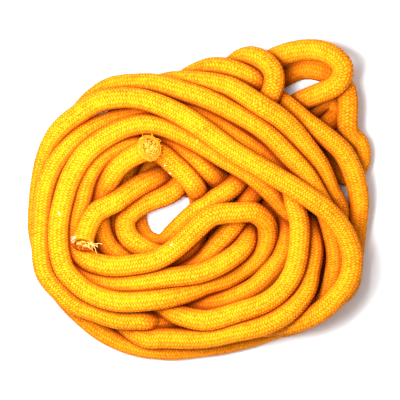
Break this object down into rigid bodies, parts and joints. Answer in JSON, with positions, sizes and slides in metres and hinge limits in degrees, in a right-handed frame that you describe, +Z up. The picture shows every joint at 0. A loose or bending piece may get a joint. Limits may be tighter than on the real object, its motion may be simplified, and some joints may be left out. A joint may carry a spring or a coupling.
{
  "type": "dynamic climbing rope",
  "caption": "Yellow braided kernmantle climbing rope lying in a loose heap of loops and bights, with one frayed and one clean cut end.",
  "frame": {"origin": "middle of the heap in plan, on the surface it lies on", "axes": "+Z up from the surface, +X along the heap's longer side, +Y towards the side with the bights"},
  "size_m": [0.1736, 0.1584, 0.0451],
  "materials": {
    "sheath": "matte",
    "core": "matte"
  },
  "bodies": {
    "root": {"sheath": "sheath", "core_strand_1": "core", "core_strand_2": "core", "core_strand_3": "core"}
  },
  "joints": []
}
